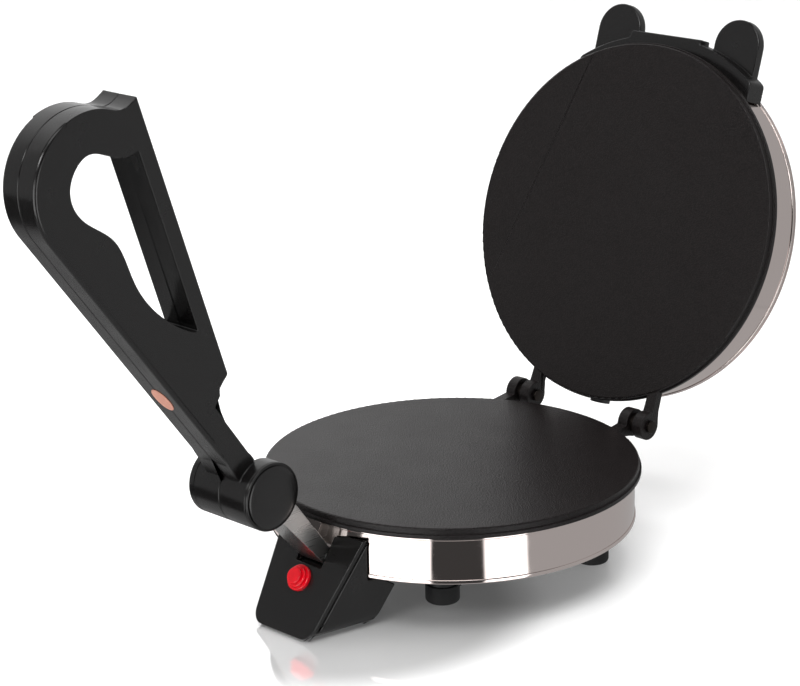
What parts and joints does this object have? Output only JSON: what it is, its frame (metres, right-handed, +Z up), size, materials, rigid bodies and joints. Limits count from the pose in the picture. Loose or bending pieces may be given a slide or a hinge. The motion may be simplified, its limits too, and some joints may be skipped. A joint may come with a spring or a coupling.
{
  "type": "electric roti maker",
  "caption": "Countertop flatbread cooker: round heated base and hinged lid with non-stick plates, and a folding press lever with a loop grip at the front.",
  "frame": {"origin": "middle of the bottom of the whole object's box, on the table plane, lid open", "axes": "+X along the lid hinge, to the right as seen from the lever's side; +Y from the lever at the front to the hinge at the back; +Z up"},
  "size_m": [0.2224, 0.5223, 0.3225],
  "materials": {
    "nonstick": "cast aluminium with a dark, finely pebbled non-stick coat",
    "chrome": "mirror-polished chromed steel sheet",
    "black_phenolic": "semi-gloss black moulded phenolic",
    "black_satin_plastic": "satin black moulded plastic",
    "tray_black": "matt black moulded plastic",
    "foot_rubber": "matt black rubber",
    "black_steel": "black painted pressed steel",
    "bright_steel": "bright zinc-plated steel",
    "arm_steel": "bright nickel-plated pressed steel",
    "element_sheath": "dull heat-tinted steel sheath",
    "insulation_board": "pressed mineral fibre board",
    "ceramic": "unglazed white ceramic",
    "lens_red": "translucent red moulded plastic",
    "lamp_glass": "clear glass with an orange cast",
    "badge_salmon": "thin salmon-coloured foil"
  },
  "bodies": {
    "base": {"lower_plate": "nonstick", "base_shell": "chrome", "base_tray": "tray_black", "leg_posts": "tray_black", "rubber_feet": "foot_rubber", "tie_screws": "bright_steel", "front_housing": "black_phenolic", "housing_front_panel": "black_phenolic", "housing_floor": "tray_black", "indicator_lens": "lens_red", "lens_nut": "black_satin_plastic", "neon_lamp": "lamp_glass", "lower_element": "element_sheath", "lower_clamp": "bright_steel", "lower_clamp_screws": "bright_steel", "lower_insulation": "insulation_board", "thermostat": "bright_steel", "thermal_fuse": "bright_steel", "terminal_block": "ceramic", "cord_gland": "black_satin_plastic", "link_gland": "black_satin_plastic", "hinge_pins": "black_steel", "hinge_spacers": "black_steel", "hinge_clips": "bright_steel", "arm_pivot_pin": "bright_steel"},
    "lid": {"upper_plate": "nonstick", "lid_cover": "chrome", "lid_gland": "black_satin_plastic", "cover_screws": "bright_steel", "lid_front_bracket": "black_phenolic", "bracket_screws": "bright_steel", "upper_element": "element_sheath", "upper_clamp": "bright_steel", "upper_clamp_screws": "bright_steel", "upper_insulation": "insulation_board"},
    "arm": {"arm_link": "arm_steel"},
    "handle": {"handle_half_left": "black_phenolic", "handle_half_right": "black_phenolic", "handle_screws": "bright_steel", "hub_bolt": "bright_steel", "hub_nut": "bright_steel", "hub_sleeve": "bright_steel", "hub_cap_left": "black_phenolic", "hub_cap_right": "black_phenolic", "handle_badge": "badge_salmon"}
  },
  "joints": [
    {"name": "lid_hinge", "type": "hinge", "parent": "base", "child": "lid", "pos_m": [0, 0.15874, 0.06435], "axis": [1, 0, 0], "range_deg": [0, 108]},
    {"name": "arm_pivot", "type": "hinge", "parent": "base", "child": "arm", "pos_m": [0, -0.07166, 0.0395], "axis": [-1, 0, 0], "range_deg": [0, 17]},
    {"name": "handle_pivot", "type": "hinge", "parent": "arm", "child": "handle", "pos_m": [0, -0.12316, 0.0935], "axis": [-1, 0, 0], "range_deg": [0, 91]}
  ]
}
